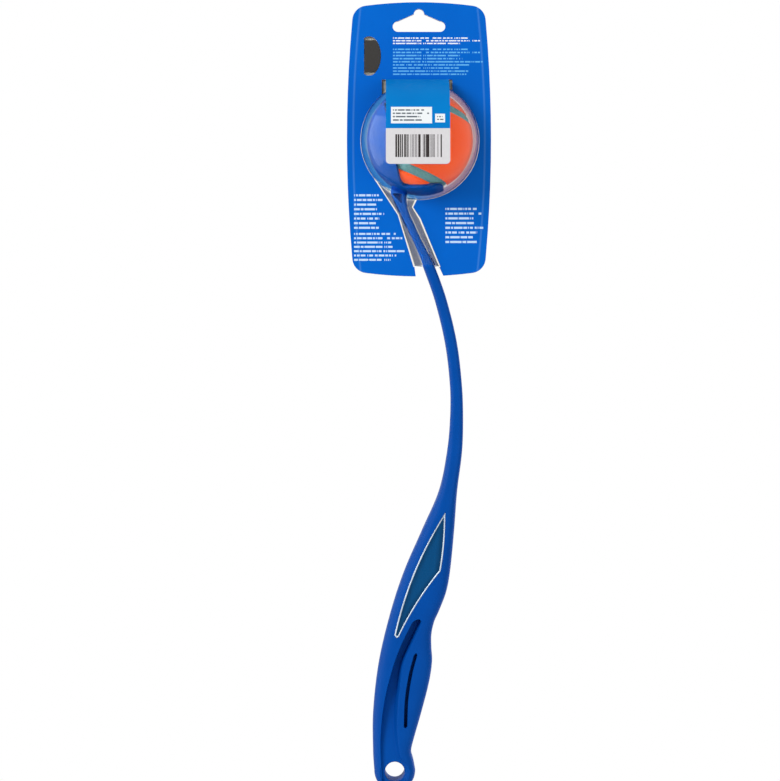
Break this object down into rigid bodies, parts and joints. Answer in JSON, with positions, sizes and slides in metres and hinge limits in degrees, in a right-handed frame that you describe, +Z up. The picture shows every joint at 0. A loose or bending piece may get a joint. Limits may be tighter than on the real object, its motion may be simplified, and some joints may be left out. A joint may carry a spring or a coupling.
{
  "type": "dog ball launcher",
  "caption": "Curved throwing stick for dog balls: open cup with two jaws that grips a felt ball, slim shaft, shaped handle with hanging hole, held in a hang card with a clear blister.",
  "frame": {"origin": "middle of the ball as it sits in the cup", "axes": "+Z up the hang card, away from the handle; +X the way the cup opens; -Y the back of the card, with the barcode flap"},
  "size_m": [0.0914, 0.0772, 0.5],
  "materials": {
    "launcher_plastic": "satin moulded plastic",
    "handle_label": "printed film label",
    "core_rubber": "matt rubber",
    "ball_felt": "short felt",
    "seam_rubber": "matt rubber seam",
    "printed_card": "printed and varnished card",
    "clear_film": "clear formed film",
    "flap_card": "printed and varnished card",
    "label_paper": "matt white paper",
    "tag_plastic": "dark matt plastic"
  },
  "bodies": {
    "launcher": {"launcher_body": "launcher_plastic", "handle_label_back": "handle_label", "handle_label_front": "handle_label"},
    "ball": {"ball_core_half_a": "core_rubber", "ball_core_half_b": "core_rubber", "felt_panel_a": "ball_felt", "felt_panel_b": "ball_felt", "ball_seam": "seam_rubber"},
    "pack_back": {"card_back": "printed_card", "blister_back": "clear_film", "tag_plate": "tag_plastic"},
    "flap": {"barcode_flap": "flap_card", "barcode_label": "label_paper"},
    "pack_front": {"card_front": "printed_card", "blister_front": "clear_film"}
  },
  "joints": [
    {"name": "ball_release", "type": "slide", "parent": "launcher", "child": "ball", "axis": [0.9659, 0, 0.2588], "range_m": [0, 0.055]},
    {"name": "pack_back_off", "type": "slide", "parent": "launcher", "child": "pack_back", "axis": [0, -1, 0], "range_m": [0, 0.16]},
    {"name": "pack_front_off", "type": "slide", "parent": "launcher", "child": "pack_front", "axis": [0, 1, 0], "range_m": [0, 0.16]},
    {"name": "flap_lift", "type": "hinge", "parent": "pack_back", "child": "flap", "pos_m": [-0.003, -0.0009, 0.0386], "axis": [-1, 0, 0], "range_deg": [0, 70]}
  ],
  "couplings": [
    {"joint": "pack_back_off", "follows": "ball_release", "ratio": 2.9},
    {"joint": "pack_front_off", "follows": "ball_release", "ratio": 2.9}
  ]
}
